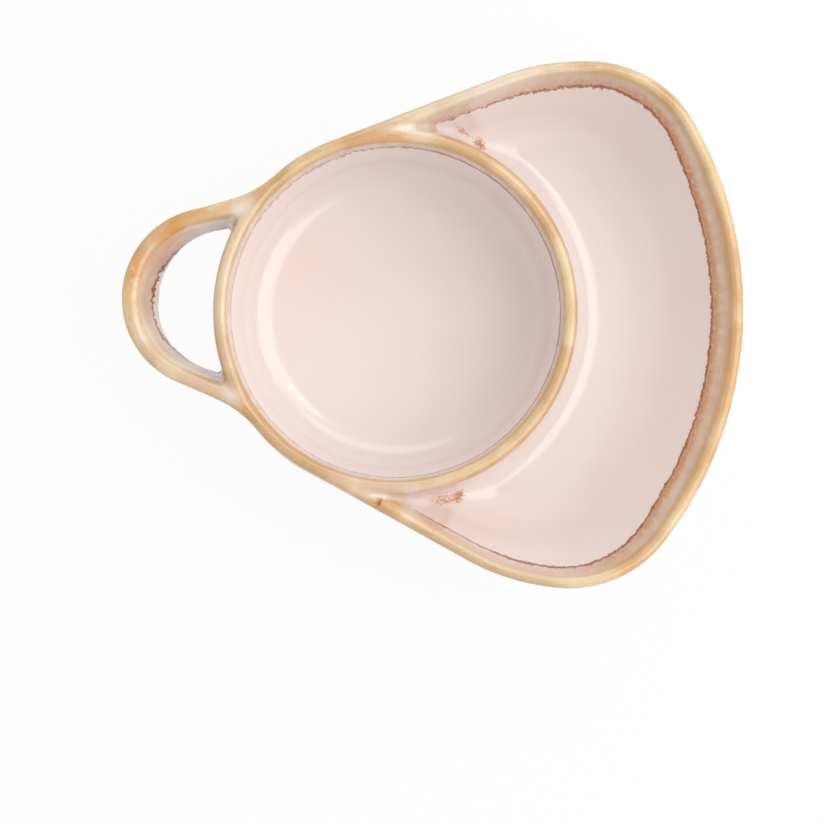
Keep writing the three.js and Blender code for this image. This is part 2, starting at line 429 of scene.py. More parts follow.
@dataclass(frozen=True)
class Shell:
    """Base, outer side, rolled rim and lining in one closed skin, without the divider."""

    form: DishForm
    underside_margin: float = 16
    floor_margin: float = 6
    corner_steps: int = 6
    wall_rows: int = 16
    roll_steps: int = 12
    cove_steps: int = 9

    def build(self) -> Piece:
        """Model the shell.

        Returns:
            A closed solid.
        """
        form = self.form
        loops = [raised(form.foot.drawn_in(self.underside_margin).loop(), form.foot_height)]
        for drawn, climb in reversed(quarter(self.corner_steps)):
            z = form.foot_height + form.base_corner * (1 - climb)
            loops.append(raised(form.side(z).drawn_in(form.base_corner * drawn).loop(), z))
        corner_top = form.foot_height + form.base_corner
        for z in np.linspace(corner_top, form.roll_height, self.wall_rows)[1:]:
            loops.append(raised(form.side(z).loop(), z))
        rim = form.side(form.roll_height)
        for turn in np.linspace(0, math.pi, self.roll_steps + 1)[1:-1]:
            z = form.roll_height + form.roll * math.sin(turn)
            loops.append(raised(rim.drawn_in(form.roll * (1 - math.cos(turn))).loop(), z))
        for z in np.linspace(form.roll_height, form.floor + form.cove, self.wall_rows):
            loops.append(raised(form.lining(z, 0).loop(), z))
        for drawn, climb in quarter(self.cove_steps)[1:]:
            z = form.floor + form.cove * (1 - climb)
            loops.append(raised(form.lining(z, form.cove * drawn).loop(), z))
        last = form.lining(form.floor, form.cove + self.floor_margin)
        loops.append(raised(last.loop(), form.floor))
        return wrapped_sheet("dish_shell", form.dipped(np.array(loops)))


@dataclass(frozen=True)
class Divider:
    """Wall between bowl and tray: part of a ring whose ends run into the side."""

    form: DishForm
    draft: float = 1.5
    cove: float = 12
    ends_past_flank: float = math.radians(8)
    buried: float = 1.5
    sunk: float = 0.7
    swell: float = 5
    swell_angle: float = math.radians(82)
    swell_spread: float = math.radians(15)
    below_floor: float = 3
    end_relief: float = 0.3
    end_fade: Range = (-0.1, 0.05)
    widest_end: float = math.radians(70)
    columns: int = 150
    wall_rows: int = 14
    roll_steps: int = 12
    cove_steps: int = 9

    def outside(self, z: Sizes) -> Sizes:
        """Radius of the tray side at a height."""
        form = self.form
        drafted = self.draft * (form.rim_height - z) / (form.rim_height - form.floor)
        rise = np.clip((z - form.floor) / self.cove, 0, 1)
        coved = form.rim.bowl + drafted + self.cove * (1 - np.sqrt(1 - (1 - rise) ** 2))
        return np.maximum(coved, form.side(z).bowl)

    def reach(self, angle: np.ndarray, z: float) -> np.ndarray:
        """Radius of the tray side, kept inside the dish's own side near the ends.

        Args:
            angle: angles round the bowl's axis.
            z: the height.

        Returns:
            One radius an angle.
        """
        form = self.form
        plan = form.side(z)
        past = np.clip(plan.flank() - np.abs(angle), 0, self.widest_end)
        depth = (form.roll_height - z) / (form.roll_height - form.floor)
        spread = (np.abs(angle) - self.swell_angle) / self.swell_spread
        swollen = self.swell * max(0, depth) * np.exp(-(spread**2))
        return np.minimum(plan.bowl / np.cos(past) - self.buried, self.outside(z) + swollen)

    def build(self) -> Piece:
        """Model the divider.

        Returns:
            A closed solid that stands in the shell's floor.
        """
        form = self.form
        last = form.rim.flank() + self.ends_past_flank
        angle = np.linspace(-last, last, self.columns)
        ending = smooth_step(*self.end_fade, np.abs(angle) - form.rim.flank())
        relief = self.end_relief * ending
        low = form.floor - self.below_floor
        profile: list[tuple[Sizes, Sizes]] = [(form.bowl_floor - form.cove, low)]
        for drawn, climb in reversed(quarter(self.cove_steps)):
            z = form.floor + form.cove * (1 - climb)
            profile.append((form.bowl_inside(z) - form.cove * drawn + relief, z))
        for z in np.linspace(form.floor + form.cove, form.roll_height, self.wall_rows)[1:]:
            profile.append((form.bowl_inside(z) + relief, z))
        inner, outer = profile[-1][0], self.reach(angle, form.roll_height)
        for turn in np.linspace(0, math.pi, self.roll_steps + 1)[1:-1]:
            radius = (inner + outer) / 2 - (outer - inner) / 2 * math.cos(turn)
            z = form.roll_height + (form.roll - self.sunk * ending) * math.sin(turn)
            profile.append((radius, z))
        coved = reversed(quarter(self.cove_steps)[:-1])
        heights = np.concatenate([
            np.linspace(form.roll_height, form.floor + self.cove, self.wall_rows),
            [form.floor + self.cove * drawn for drawn, _ in coved],
        ])
        profile.extend((self.reach(angle, z), z) for z in heights)
        profile.append((profile[-1][0], low))
        radii, levels = (
            np.array([np.broadcast_to(row, self.columns) for row in rows])
            for rows in zip(*profile)
        )
        rows = np.stack([radii * np.cos(angle), radii * np.sin(angle), levels], axis=-1)
        return wrapped_sheet("divider", form.dipped(rows.transpose(1, 0, 2)))


@dataclass(frozen=True)
class LoopHandle:
    """Leaning strap handle whose roots flare into the bowl's side."""

    form: DishForm
    low_reach: float = 113.8
    top_nose: float = 41.5
    low_nose: float = 38.2
    flare: float = math.radians(19.8)
    root_fillet: float = 46
    depth: float = 30
    top_strap: float = 7.4
    low_strap: float = 5.8
    edge: float = 2.6
    buried: float = 3
    edge_steps: int = 8
    strap_rows: int = 12
    fillet_steps: int = 16
    nose_steps: int = 44
    core_rows: int = 16
    core_steps: int = 200

    def levels(self) -> list[tuple[float, float]]:
        """Heights of the strap's loops, each with how far its rounded edge draws it in."""
        low, high = self.form.rim_height - self.depth, self.form.rim_height
        rounds = quarter(self.edge_steps)
        bottom = [(low + self.edge * (1 - climb), self.edge * drawn) for drawn, climb in rounds]
        top = [(high - self.edge * (1 - climb), self.edge * drawn) for drawn, climb in rounds]
        between = np.linspace(low + self.edge, high - self.edge, self.strap_rows)[1:-1]
        return [*reversed(bottom), *((z, 0.0) for z in between), *top]

    def sizes_at(self, z: Sizes) -> tuple[Sizes, Sizes, Sizes]:
        """Reach of the nose, radius of its round and thickness of the strap at a height."""
        share = (self.form.rim_height - z) / self.depth
        reach = self.form.handle_reach + (self.low_reach - self.form.handle_reach) * share
        nose = self.top_nose + (self.low_nose - self.top_nose) * share
        return reach, nose, self.top_strap + (self.low_strap - self.top_strap) * share

    def outer(self, z: float, drawn: float) -> np.ndarray:
        """Outer outline of the strap with its flared roots.

        Args:
            z: the height.
            drawn: how far the outline is drawn in.

        Returns:
            An array of points x 2.
        """
        reach, nose, _ = self.sizes_at(z)
        bowl = self.form.side(z).bowl
        nose_x = nose - reach
        fillet = self.root_fillet + drawn
        square = np.array([-math.sin(self.flare), math.cos(self.flare)])
        along = np.array([math.cos(self.flare), math.sin(self.flare)])
        off = square[0] * nose_x + nose - drawn + fillet
        centre = square * off - along * math.sqrt((bowl + fillet) ** 2 - off**2)
        to_bowl = math.atan2(-centre[1], -centre[0])
        to_side = math.atan2(-square[1], -square[0])
        half = np.concatenate([
            arc(*centre, fillet, to_bowl, to_side, self.fillet_steps),
            arc(nose_x, 0, nose - drawn, math.pi / 2 + self.flare, math.pi, self.nose_steps),
        ])
        return np.concatenate([half, half[-2::-1] * (1, -1)])

    def hole(self, z: float, eased: float) -> np.ndarray:
        """Outline of the finger hole, open towards the bowl.

        Args:
            z: the height.
            eased: how far the strap's rounded edge widens it.

        Returns:
            An array of points x 2.
        """
        reach, nose, strap = self.sizes_at(z)
        nose_x = nose - reach
        radius = nose - strap + eased
        bend = arc(nose_x, 0, radius, math.pi / 2 + self.flare, math.pi, self.nose_steps)
        inside_x = -self.form.side(z).bowl / 2
        run = (inside_x - bend[0, 0]) * math.tan(self.flare)
        half = np.concatenate([[[inside_x, bend[0, 1] + run]], bend])
        return np.concatenate([half, half[-2::-1] * (1, -1)])

    def depth_in_strap(self, x: np.ndarray, y: np.ndarray, z: np.ndarray) -> np.ndarray:
        """How far points lie inside the strap's outer outline, as a share of its thickness.

        Args:
            x, y, z: the points, with a level rim.

        Returns:
            0 on the outer face and 1 on the face towards the fingers.
        """
        reach, nose, strap = self.sizes_at(z)
        along, across = x - nose + reach, np.abs(y)
        cos, sin = math.cos(self.flare), math.sin(self.flare)
        on_leg = along * cos + across * sin > 0
        away = np.where(on_leg, across * cos - along * sin, np.hypot(along, across))
        return (nose - away) / strap

    def build(self) -> Piece:
        """Model the handle.

        Returns:
            A closed solid whose ends are buried in the shell's side.
        """
        form = self.form
        levels = self.levels()
        (low, low_drawn), (high, high_drawn) = levels[0], levels[-1]
        outer = np.array([raised(self.outer(z, drawn), z) for z, drawn in levels])
        through = [(low, low_drawn, low - form.wall), *((z, d, z) for z, d in levels)]
        through.append((high, high_drawn, high + form.wall))
        hole = np.array([raised(self.hole(z, eased), at) for z, eased, at in through])
        core = []
        for z in np.linspace(low - form.wall, high + form.wall, self.core_rows):
            radius = form.side(z).bowl - self.buried
            core.append(raised(arc(0, 0, radius, 0, 2 * math.pi, self.core_steps)[:-1], z))
        piece = wrapped_sheet("loop_handle_skin", form.dipped(outer))
        combine(piece, wrapped_sheet("finger_hole", form.dipped(hole)), Cut.TAKE_AWAY)
        combine(piece, wrapped_sheet("bowl_core", form.dipped(np.array(core))), Cut.TAKE_AWAY)
        return piece


# Where the glaze has run


@dataclass(frozen=True)
class Spot:
    """Soft oval patch on the dish, seen from above, in mm and degrees."""

    x: float
    y: float
    length: float
    width: float
    turn: float = 0.0
    strength: float = 1.0

    def at(self, x: np.ndarray, y: np.ndarray) -> np.ndarray:
        """Strength of the patch at points, fading out from its middle."""
        turn = math.radians(self.turn)
        along = (x - self.x) * math.cos(turn) + (y - self.y) * math.sin(turn)
        across = (y - self.y) * math.cos(turn) - (x - self.x) * math.sin(turn)
        return self.strength * np.exp(-((along / self.length) ** 2) - (across / self.width) ** 2)


@dataclass(frozen=True)
class GlazeRun:
    """Where the rim glaze ends, in mm, and where it has run, smeared or burnt orange."""

    form: DishForm
    tray_angles: Numbers = (-95, -60, -52, -40, -30, 0, 25, 40, 52, 75, 95)
    tray_lines: Numbers = (9, 9, 9.6, 12, 13.4, 13.9, 13.5, 11.8, 10.5, 10.4, 10.4)
    tray_smears: Numbers = (0.1, 0.1, 0.2, 0.6, 1, 0.9, 1, 0.95, 0.7, 0.4, 0.65)
    tray_golds: Numbers = (0.6, 1.0, 1.0, 0.85, 0.75, 0.75, 0.75, 0.85, 1.0, 1.0, 0.8)
    tray_rags: Numbers = (0.3, 0.35, 0.45, 0.55, 0.55, 0.55, 0.55, 0.6, 0.8, 1.4, 1.2)
    steep_share: float = 0.33
    outer_lines: tuple[Range, ...] = (
        (-118, 15.5), (-104, 14.8), (-88, 14.1), (-77, 15), (-66, 15.7), (-47, 15.7), (-39, 17.7),
        (-34, 19.2), (-28, 20.5), (-23, 19.3), (-14, 17.2), (-3, 16.1), (10, 16.4), (24, 17.5),
        (42, 17.9), (53, 18.1), (66, 17.5), (86, 17.9), (104, 17), (110, 16.5), (112.5, 14.3),
        (125, 14.6), (136, 15.2), (150, 16.6),
    )
    outer_gold_share: float = 0.55
    outer_smear: float = 0.4
    outer_rag: float = 1.0
    bowl_line: float = 16
    bowl_line_share: float = 0.25
    bowl_angles: Numbers = (-180, -110, -60, -45, 80, 100, 125, 180)
    bowl_strengths: Numbers = (0.35, 0.45, 0.7, 1, 1, 0.75, 0.6, 0.35)
    bowl_rags: Numbers = (0.2, 0.2, 0.25, 0.25, 0.25, 1.3, 1.2, 0.25)
    divider_line: float = 17
    line_start: Range = (13, 18)
    horn_end: float = 13
    horn_fade: Range = (11, 22)
    horn_gold: float = 0.85
    grip_places: Numbers = (-36, -28, -20, -12, -3, 5, 10, 15, 22, 30)
    grip_lines: Numbers = (26, 24.5, 22.5, 20.5, 19.5, 20, 21, 22.5, 24.5, 27)
    grip_gold_share: float = 0.26
    grip_line_share: float = 0.32
    grip_smear: float = 0.3
    grip_rag: float = 0.7
    grip_gap: float = 1
    grip_depth: float = 0.5
    edge_limit: float = 40
    spot_drop: float = 6
    embers: tuple[Spot, ...] = (
        Spot(-108.5, 22.5, 17, 4, 56, 1.1),
        Spot(-119, 6, 3, 10, 0, 0.8),
        Spot(-88, 39, 10, 3, 15, 0.5),
        Spot(-104, 30, 24, 8, 50, 0.3),
        Spot(152, 0, 14, 95, 0, 0.32),
        Spot(111, -107, 16, 6, 35, 0.45),
        Spot(-8, 77, 8, 2.6, 175, 0.7),
        Spot(-4.5, 79.6, 5, 1.6, 8, 0.7),
        Spot(-27, 75, 8, 3, 20, 0.35),
        Spot(-32, -78, 14, 3, -28, 0.35),
    )
    flecks: tuple[Spot, ...] = (
        Spot(-1.2, -86.2, 1.6, 2.6, -20, 1.6),
        Spot(25, 86.8, 5, 1.6, -20, 0.85),
        Spot(33.5, 82.2, 3.6, 2.6, -40, 1.1),
        Spot(28.5, -84.3, 8, 3, 10, 0.8),
        Spot(35.6, -81.6, 2.2, 3.4, -20, 0.85),
    )
    # Pale pooled glaze at the handle's roots and paler glaze on the flanks, the ring and the handle's
    # lower leg; some spots are painted light, as marked.
    pools_and_painted_light: tuple[Spot, ...] = (
        # Grooves between the rims: pooled glaze with a painted highlight.
        Spot(2, 82.5, 12, 1.6, 3, 0.7),
        Spot(4, -83.6, 11, 1.2, -2, 0.75),
        # The next two: painted light over the shade in the horns' hollows.
        Spot(13.5, -85.5, 3, 5, 0, 0.85),
        Spot(11, 84, 5, 4, 0, 0.6),
        Spot(-72.7, 40.6, 6, 3.4, 49, 0.7),
        Spot(-70.8, -42.8, 5, 3.4, -41, 0.55),
        Spot(56, -101, 34, 10, -19, 0.62),
        Spot(34, 101, 36, 9, 21, 0.45),
        Spot(-78, -12, 8, 36, 4, 0.2),
        Spot(4, -79, 34, 4, 0, 0.25),
        Spot(-92, -36, 14, 6, -20, 0.25),
        # Grip's inner face: painted light over its shade.
        Spot(-111, -4, 5, 32, 0, 0.38),
    )
    blushes: tuple[Spot, ...] = (Spot(-44, 18, 26, 34, 0, 0.4),)

    def lay(self, piece: Piece) -> None:
        """Keep the glaze's values on the points of the dish.

        Args:
            piece: the glazed skin.
        """
        form = self.form
        x, y, z = points_of(piece).T
        level = form.levelled(x, z)
        radius, angle = np.hypot(x, y), np.degrees(np.arctan2(y, x))
        drop = form.rim_at(x) - z
        depth = form.side(level).inside(x, y)
        lined = depth > form.roll
        in_bowl = lined & (radius < form.crest_radius)
        in_tray = lined & ~in_bowl
        strap_share = LoopHandle(form).depth_in_strap(x, y, level)
        in_grip = (depth < -self.grip_gap) & (strap_share > self.grip_depth)
        zones = [in_bowl, in_tray, in_grip]

        def round_tray(values: Numbers) -> np.ndarray:
            """Values round the tray, at each point."""
            return np.interp(angle, self.tray_angles, values)

        def round_bowl(values: Numbers) -> np.ndarray:
            """Values round the bowl, at each point."""
            return np.interp(angle, self.bowl_angles, values)

        rim_band = np.maximum(form.rim.inside(x, y) - form.roll, self.steep_share * drop)
        ring_band = np.maximum(np.abs(radius - form.crest_radius), drop)
        horn = 1 - smooth_step(*self.horn_fade, x)
        tray_band = rim_band * round_tray(self.tray_golds)
        tray_band *= 1 - self.horn_gold * horn
        band = np.select(
            zones,
            [ring_band, np.minimum(tray_band, ring_band), self.grip_gold_share * drop],
            self.outer_gold_share * drop,
        )
        tray_edge = round_tray(self.tray_lines) - form.roll - rim_band
        bowl_edge = self.bowl_line_share * (self.bowl_line - drop)
        grip_drop = np.interp(y, self.grip_places, self.grip_lines)
        grip_edge = self.grip_line_share * (grip_drop - drop)
        divider_edge = self.divider_line - ring_band
        outer_x = np.where(y < 0, x, FAR_SIDE_TURN - x)
        edge = np.select(
            zones,
            [bowl_edge, np.maximum.reduce([tray_edge, divider_edge, self.horn_end - x]), grip_edge],
            np.interp(outer_x, *zip(*self.outer_lines)) - drop,
        )
        strengths = [round_bowl(self.bowl_strengths), smooth_step(*self.line_start, x), 1.0]
        smears = [0.0, round_tray(self.tray_smears), self.grip_smear]
        rags = [round_bowl(self.bowl_rags), round_tray(self.tray_rags), self.grip_rag]
        keep_values(piece, Layer.BAND, np.maximum(band, 0))
        keep_values(piece, Layer.EDGE, np.clip(edge, -self.edge_limit, self.edge_limit))
        keep_values(piece, Layer.LINE, np.select(zones, strengths, 1.0))
        keep_values(piece, Layer.SMEAR, np.select(zones, smears, self.outer_smear))
        keep_values(piece, Layer.RAGGED, np.select(zones, rags, self.outer_rag))
        keep_values(piece, Layer.OUTER, np.where(lined | in_grip, 0.0, 1.0))
        seen = np.where(lined | in_grip, drop < form.rim_height, drop < self.spot_drop)
        for layer, spots in (
            (Layer.EMBER, self.embers),
            (Layer.FLECK, self.flecks),
            (Layer.POOL, self.pools_and_painted_light),
            (Layer.BLUSH, self.blushes),
        ):
            keep_values(piece, layer, sum(spot.at(x, y) for spot in spots) * seen)


# Finishes


def tone(red: int, green: int, blue: int) -> Colour:
    """Linear colour from the usual 0 to 255 values."""

    def linear(value: int) -> float:
        """One channel."""
        share = value / 255
        return share / 12.92 if share <= 0.04045 else ((share + 0.055) / 1.055) ** 2.4

    return linear(red), linear(green), linear(blue), 1.0


@dataclass(frozen=True)
class Grain:
    """Cloudy pattern: size in mm, finer levels, and under 1 how it is drawn out along Z."""

    size: float
    detail: float = 2.0
    upright: float = 1.0


class Paint:
    """One procedural material, put together node by node."""

    def __init__(self, name: str) -> None:
        """Start a material with an empty tree."""
        self.material = bpy.data.materials.new(name)
        self.material.use_nodes = True
        self.tree = self.material.node_tree
        self.tree.nodes.clear()
        place = self.tree.nodes.new("ShaderNodeTexCoord")
        self.place = place.outputs["Object"]

    def node(self, kind: str, **settings: object) -> bpy.types.Node:
        """Add a node with these settings."""
        made = self.tree.nodes.new(kind)
        for key, value in settings.items():
            setattr(made, key, value)
        return made

    def feed(self, socket: Socket, value: object) -> None:
        """Link a socket into another, or set it to a plain value."""
        if isinstance(value, Socket):
            self.tree.links.new(value, socket)
        else:
            socket.default_value = value

    def value(self, layer: Layer) -> Socket:
        """Value kept on the points."""
        return self.node("ShaderNodeAttribute", attribute_name=layer.value).outputs["Fac"]

    def math(self, what: str, *values: object) -> Socket:
        """One sum on up to three values."""
        made = self.node("ShaderNodeMath", operation=what)
        for socket, value in zip(made.inputs, values):
            self.feed(socket, value)
        return made.outputs[0]

    def plus(self, a: object, b: object) -> Socket:
        """Sum of two values."""
        return self.math("ADD", a, b)

    def less(self, a: object, b: object) -> Socket:
        """First value less the second."""
        return self.math("SUBTRACT", a, b)

    def times(self, a: object, b: object) -> Socket:
        """Product of two values."""
        return self.math("MULTIPLY", a, b)

    def step(self, value: object, low: float, high: float) -> Socket:
        """Soft step from 0 at low to 1 at high."""
        made = self.node("ShaderNodeMapRange", interpolation_type="SMOOTHSTEP")
        for socket, number in zip(made.inputs, (value, low, high, 0.0, 1.0)):
            self.feed(socket, number)
        return made.outputs[0]

    def mix(self, share: object, a: object, b: object) -> Socket:
        """Colour a, with a share of colour b laid over it."""
        made = self.node("ShaderNodeMix", data_type="RGBA")
        self.feed(made.inputs["Factor"], share)
        self.feed(made.inputs[6], a)
        self.feed(made.inputs[7], b)
        return made.outputs[2]

    def band(self, value: object, rise: Range, fall: Range) -> Socket:
        """Soft band that starts over one range and ends over another."""
        return self.less(self.step(value, *rise), self.step(value, *fall))

    def noise(self, grain: Grain) -> Socket:
        """Cloudy value about 0.5.

        Args:
            grain: the pattern's sizes.

        Returns:
            The value's socket.
        """
        place = self.node("ShaderNodeMapping")
        self.feed(place.inputs["Vector"], self.place)
        place.inputs["Scale"].default_value = (1, 1, grain.upright)
        made = self.node("ShaderNodeTexNoise")
        self.feed(made.inputs["Vector"], place.outputs[0])
        made.inputs["Scale"].default_value = 1 / (grain.size * MM)
        made.inputs["Detail"].default_value = grain.detail
        return made.outputs["Fac"]

    def stripes(self, along: Socket, size: float) -> Socket:
        """Fine lines about 0.5 that follow a value.

        Args:
            along: the value, in mm.
            size: how far apart the lines are, in mm.

        Returns:
            The value's socket.
        """
        made = self.node("ShaderNodeTexNoise", noise_dimensions="1D")
        self.feed(made.inputs["W"], along)
        made.inputs["Scale"].default_value = 1 / size
        return made.outputs["Fac"]

    def around(self, noise: Socket, reach: float) -> Socket:
        """Cloudy value brought to plus or minus reach."""
        return self.times(self.less(noise, 0.5), 2 * reach)

    def axis(self, name: str) -> Socket:
        """Place along one axis, in mm."""
        parts = self.node("ShaderNodeSeparateXYZ")
        self.feed(parts.inputs[0], self.place)
        return self.math("DIVIDE", parts.outputs[name], MM)

    def show(self, shader: Socket) -> None:
        """End the material with a shader."""
        self.feed(self.node("ShaderNodeOutputMaterial").inputs["Surface"], shader)

    def coat(
        self, colour: Socket, roughness: object, height: Socket, depth: float, share: float = 1.0
    ) -> bpy.types.Node:
        """End the material with one coat that has a fine relief.

        Args:
            colour: the coat's colour.
            roughness: how matt it is.
            height: the relief, as a share of its depth.
            depth: the relief's depth, in mm.
            share: how much of the relief shows.

        Returns:
            The coat's shader.
        """
        shader = self.node("ShaderNodeBsdfPrincipled")
        self.feed(shader.inputs["Base Color"], colour)
        self.feed(shader.inputs["Roughness"], roughness)
        bump = self.node("ShaderNodeBump")
        bump.inputs["Distance"].default_value = depth * MM
        bump.inputs["Strength"].default_value = share
        self.feed(bump.inputs["Height"], height)
        self.feed(shader.inputs["Normal"], bump.outputs[0])
        self.show(shader.outputs[0])
        return shader


@dataclass(frozen=True)
class Tongue:
    """Short round-ended run of the rim glaze on the outer side, in mm."""

    place: float
    drop: float
    half_width: float
    edge_share: float = 1.7

    def draw(self, paint: Paint, along: Socket, edge: Socket) -> Socket:
        """Draw the tongue.

        Args:
            paint: the material that is being made.
            along: place along the side.
            edge: how far the place lies above the glaze's plain edge.

        Returns:
            How far the place lies inside the tongue, drawn out so that its brown edge is thin.
        """
        away = paint.less(along, self.place)
        past = paint.math("MAXIMUM", paint.less(self.half_width - self.drop, edge), 0.0)
        square = paint.math("MULTIPLY_ADD", away, away, paint.times(past, past))
        inside = paint.less(self.half_width, paint.math("SQRT", square))
        return paint.times(inside, self.edge_share)


@dataclass(frozen=True)
class RimGlaze:
    """Glossy pink-cream glaze under an ochre rim glaze that has run, with lengths in mm."""

    body: Colour = tone(241, 230, 226)
    body_warm: Colour = tone(242, 228, 222)
    blush: Colour = tone(246, 220, 209)
    body_outer: Colour = tone(226, 213, 210)
    gold: Colour = tone(200, 153, 92)
    gold_pale: Colour = tone(228, 200, 156)
    ochre: Colour = tone(192, 140, 82)
    milk: Colour = tone(214, 191, 169)
    milk_pale: Colour = tone(225, 209, 193)
    milk_outer: Colour = tone(211, 198, 187)
    rust: Colour = tone(204, 137, 72)
    line: Colour = tone(153, 80, 2)
    line_outer: Colour = tone(140, 68, 40)
    pool_and_painted_light: Colour = tone(240, 230, 226)
    ember: Colour = tone(218, 147, 60)
    roughness: float = 0.18
    refraction: float = 1.8
    relief: float = 1.0
    relief_share: float = 0.5
    cloud: Grain = Grain(36)
    cloud_warm: Range = (0.4, 0.7)
    cloud_rise: float = 0.5
    curd: Grain = Grain(6, 3)
    curd_reach: float = 0.5
    stripe_gap: float = 0.8
    stripe_range: Range = (0.35, 0.65)
    stripe_share: float = 0.3
    waver: Grain = Grain(22)
    waver_reach: float = 1.5
    patches: Grain = Grain(26)
    patch_range: Range = (0.38, 0.68)
    patch_share: float = 0.75
    dust: Grain = Grain(1)
    dust_reach: float = 0.3
    veil: Grain = Grain(4, 1, 0.1)
    veil_range: Range = (0.3, 0.7)
    crest_fade: Range = (1.2, 5.4)
    lip_rise: Range = (1.7, 2.6)
    lip_fall: Range = (2.7, 3.8)
    # Painted shade: where the darker ochre band on the outer side below the crest starts and ends.
    painted_shade_rise: Range = (0.4, 1.0)
    painted_shade_fall: Range = (1.8, 2.8)
    ochre_share: float = 0.32
    scorch: Grain = Grain(1.4)
    scorch_reach: float = 0.5
    scorch_range: Range = (0.3, 0.6)
    runs: Grain = Grain(2.6, 3, 0.4)
    runs_reach: float = 1.8
    grit: Grain = Grain(0.9)
    grit_reach: float = 0.9
    edge_soft: float = 0.15
    edge_rise: float = 0.15
    fibre: Grain = Grain(1.3, 2, 0.3)
    fibre_reach: float = 0.3
    streak_range: Range = (0.05, 0.6)
    smear_fade: Range = (1.8, 4.6)
    line_swell: Grain = Grain(7)
    line_swell_reach: float = 0.7
    line_width: Range = (0.6, 1.1)
    outer_line_extra: float = 0.8
    outer_line_reach: float = 1.6
    specks: Grain = Grain(0.9, 1)
    speck_range: Range = (0.64, 0.74)
    speck_fade: Range = (4, 9)
    speck_share: float = 0.6
    crumbs: Grain = Grain(0.7, 3)
    crumb_reach: float = 1.2
    fleck_range: Range = (0.5, 0.85)
    fleck_fade: Range = (0.1, 0.3)
    fleck_dark: Range = (0.8, 1.3)
    tongues: tuple[Tongue, ...] = (
        Tongue(-80.3, 2.4, 1.7),
        Tongue(-55.7, 4.2, 2.2),
        Tongue(-27.7, 4.6, 2.4),
        Tongue(-19.9, 2.4, 1.9),
        Tongue(14.4, 4.4, 1.8),
        Tongue(19.7, 4.0, 1.7),
        Tongue(31.6, 3.8, 2.8),
        Tongue(56.0, 4.4, 1.8),
        Tongue(62.2, 4.3, 1.6),
        Tongue(73.1, 5.2, 2.0),
        Tongue(80.0, 4.9, 2.2),
        Tongue(108.9, 3.8, 2.3),
    )
    tongue_root: float = 3.0
    tongue_sway: Grain = Grain(6, 3)
    tongue_sway_reach: float = 3.4

    def run_edge(self, paint: Paint) -> Socket:
        """Edge of the rim glaze, with the tongues that have run down the outer side.

        Args:
            paint: the material that is being made.

        Returns:
            How far a place lies inside the edge, in mm.
        """
        sway = paint.around(paint.noise(self.tongue_sway), self.tongue_sway_reach)
        x = paint.plus(paint.less(paint.axis("X"), AXIS_X), sway)
        far = paint.math("GREATER_THAN", paint.axis("Y"), 0.0)
        along = paint.plus(x, paint.times(far, paint.less(FAR_SIDE_TURN, paint.times(x, 2))))
        plain = run = paint.value(Layer.EDGE)
        for tongue in self.tongues:
            drawn = tongue.draw(paint, along, plain)
            run = paint.math("SMOOTH_MAX", run, drawn, self.tongue_root)
        return paint.math("MULTIPLY_ADD", paint.less(run, plain), paint.value(Layer.OUTER), plain)

    def body_colour(self, paint: Paint, cloud: Socket) -> Socket:
        """Colour of the pink-cream glaze.

        Args:
            paint: the material that is being made.
            cloud: slow cloudy value.

        Returns:
            The colour's socket.
        """
        colour = paint.mix(paint.step(cloud, *self.cloud_warm), self.body, self.body_warm)
        colour = paint.mix(paint.value(Layer.BLUSH), colour, self.blush)
        return paint.mix(paint.value(Layer.OUTER), colour, self.body_outer)

    def gold_colour(self, paint: Paint, band: Socket) -> Socket:
        """Colour of the gold crest, with pale patches, stripes and dust.

        Args:
            paint: the material that is being made.
            band: how far a place lies from the crest.

        Returns:
            The colour's socket.
        """
        waver = paint.around(paint.noise(self.waver), self.waver_reach)
        stripes = paint.step(paint.stripes(paint.plus(band, waver), self.stripe_gap), *self.stripe_range)
        patches = paint.step(paint.noise(self.patches), *self.patch_range)
        pale = paint.times(patches, self.patch_share)
        pale = paint.plus(pale, paint.times(stripes, self.stripe_share))
        pale = paint.plus(pale, paint.around(paint.noise(self.dust), self.dust_reach))
        return paint.mix(pale, self.gold, self.gold_pale)

    def rim_colour(self, paint: Paint) -> Socket:
        """Colour of the rim glaze: gold crest, ochre line on the crest's inner side, a band of painted
        shade in ochre on the outer side below the crest, milky below, burnt places, and pooled places
        partly painted light.

        Args:
            paint: the material that is being made.

        Returns:
            The colour's socket.
        """
        band, outer, curd = paint.value(Layer.BAND), paint.value(Layer.OUTER), paint.noise(self.curd)
        crest = paint.plus(band, paint.around(curd, self.curd_reach))
        milk = paint.mix(paint.step(paint.noise(self.veil), *self.veil_range), self.milk, self.milk_pale)
        milk = paint.mix(outer, milk, self.milk_outer)
        colour = paint.mix(paint.step(crest, *self.crest_fade), self.gold_colour(paint, band), milk)
        lip_and_painted_shade = paint.band(crest, self.lip_rise, self.lip_fall)
        # Painted shade: a darker ochre band on the outer side just below the crest, where the rim's edge
        # turns away from the light.
        painted_edge_shade = paint.times(paint.band(band, self.painted_shade_rise, self.painted_shade_fall), outer)
        lip_and_painted_shade = paint.times(paint.math("MAXIMUM", lip_and_painted_shade, painted_edge_shade), self.ochre_share)
        colour = paint.mix(lip_and_painted_shade, colour, self.ochre)
        scorch = paint.around(paint.noise(self.scorch), self.scorch_reach)
        scorch = paint.plus(paint.step(curd, *self.scorch_range), scorch)
        colour = paint.mix(paint.times(paint.value(Layer.EMBER), scorch), colour, self.ember)
        # Pale pooled glaze, with painted light in the grooves, the horns' hollows and the grip.
        return paint.mix(paint.value(Layer.POOL), colour, self.pool_and_painted_light)

